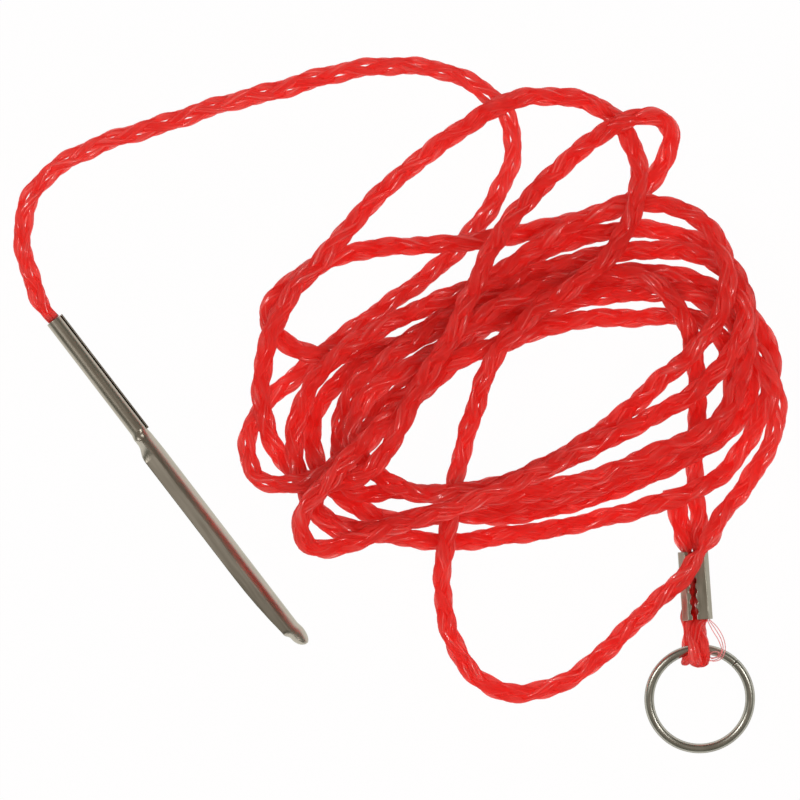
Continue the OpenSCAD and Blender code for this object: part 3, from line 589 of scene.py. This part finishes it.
# Metal finishes on the CAD nodes
needle_steel = steel_material("needle_steel", dark=(0.43, 0.39, 0.32), light=(0.55, 0.5, 0.42),
                              edge=(0.95, 1.0, 0.95), roughness=(0.3, 0.38), scale=(1200, 90, 1200),
                              turn=NEEDLE_TURN)
ferrule_steel = steel_material("ferrule_steel", dark=(0.43, 0.4, 0.32), light=(0.57, 0.53, 0.44),
                               edge=(0.5, 0.5, 0.45), roughness=(0.28, 0.38), scale=(1200, 150, 1200),
                               turn=EYE_TURN)
ring_steel = steel_material("ring_steel", dark=(0.5, 0.48, 0.42), light=(0.6, 0.58, 0.5),
                            edge=(0.12, 0.12, 0.1), roughness=(0.26, 0.34), scale=(300, 300, 300))
for node, material in (("needle", needle_steel), ("crimp_ferrule", ferrule_steel), ("ring", ring_steel)):
    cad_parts[node].data.materials.clear()
    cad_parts[node].data.materials.append(material)


# Floor and light
def seen_directly(nodes, links):
    path = nodes.new("ShaderNodeLightPath")
    total = path.outputs["Is Camera Ray"]
    for name in ("Is Glossy Ray", "Is Transmission Ray"):
        add = nodes.new("ShaderNodeMath")
        add.operation = "MAXIMUM"
        links.new(total, add.inputs[0])
        links.new(path.outputs[name], add.inputs[1])
        total = add.outputs["Value"]
    return total


FLOOR_REACH = 3
FLOOR_DROP = 0.0001
WHITE_SHARE = 0.98
floor_mesh = bpy.data.meshes.new("floor")
corners = [(FLOOR_REACH * x, FLOOR_REACH * y, 0) for x, y in ((-1, -1), (1, -1), (1, 1), (-1, 1))]
floor_mesh.from_pydata(corners, [], [(0, 1, 2, 3)])
floor = bpy.data.objects.new("floor", floor_mesh)
floor.location.z = -FLOOR_DROP
bpy.context.scene.collection.objects.link(floor)
material, nodes, links = new_material("floor")
shader = nodes["Principled BSDF"]
shader.inputs["Base Color"].default_value = (0.9, 0.9, 0.9, 1)
shader.inputs["Roughness"].default_value = 0.9
shader.inputs["Specular IOR Level"].default_value = 0
white = nodes.new("ShaderNodeEmission")
white.inputs["Strength"].default_value = 1
share = nodes.new("ShaderNodeMath")
share.operation = "MULTIPLY"
share.inputs[1].default_value = WHITE_SHARE
links.new(seen_directly(nodes, links), share.inputs[0])
mix = nodes.new("ShaderNodeMixShader")
links.new(share.outputs["Value"], mix.inputs["Fac"])
links.new(shader.outputs["BSDF"], mix.inputs[1])
links.new(white.outputs["Emission"], mix.inputs[2])
links.new(mix.outputs["Shader"], nodes["Material Output"].inputs["Surface"])
material.cycles.emission_sampling = "NONE"
floor_mesh.materials.append(material)

world = bpy.data.worlds.new("world")
bpy.context.scene.world = world
world.use_nodes = True
nodes, links = world.node_tree.nodes, world.node_tree.links
sky = nodes["Background"]
sky.inputs["Strength"].default_value = 1
place = nodes.new("ShaderNodeTexCoord")
split = nodes.new("ShaderNodeSeparateXYZ")
links.new(place.outputs["Generated"], split.inputs["Vector"])
ramp = nodes.new("ShaderNodeValToRGB")
ramp.color_ramp.interpolation = "EASE"
ramp.color_ramp.elements[0].position, ramp.color_ramp.elements[1].position = 0.0, 1.0
ramp.color_ramp.elements[0].color = (0.6, 0.62, 0.6, 1)
ramp.color_ramp.elements[1].color = (0.24, 0.21, 0.18, 1)
middle = ramp.color_ramp.elements.new(0.3)
middle.color = (0.1, 0.11, 0.09, 1)
links.new(split.outputs["Z"], ramp.inputs["Fac"])
links.new(ramp.outputs["Color"], sky.inputs["Color"])
white = nodes.new("ShaderNodeBackground")
path = nodes.new("ShaderNodeLightPath")
mix = nodes.new("ShaderNodeMixShader")
links.new(path.outputs["Is Camera Ray"], mix.inputs["Fac"])
links.new(sky.outputs["Background"], mix.inputs[1])
links.new(white.outputs["Background"], mix.inputs[2])
links.new(mix.outputs["Shader"], nodes["World Output"].inputs["Surface"])


def area_light(name, place, size, power, colour=(1, 1, 1), glossy=True):
    data = bpy.data.lights.new(name, "AREA")
    data.size = size
    data.energy = power
    data.color = colour
    light = bpy.data.objects.new(name, data)
    light.location = place
    light.rotation_euler = (Vector((0, 0.03, 0)) - Vector(place)).to_track_quat("-Z", "Y").to_euler()
    light.visible_glossy = glossy
    bpy.context.scene.collection.objects.link(light)


area_light("left", (-0.6, 0.1, 0.9), size=0.22, power=2.0)
area_light("right", (0.65, -0.05, 0.9), size=0.22, power=1.4)
area_light("fill", (0.2, -0.3, 1.1), size=0.8, power=9.0, colour=(1.0, 0.25, 0.22), glossy=False)
bpy.context.scene.view_settings.view_transform = "Standard"
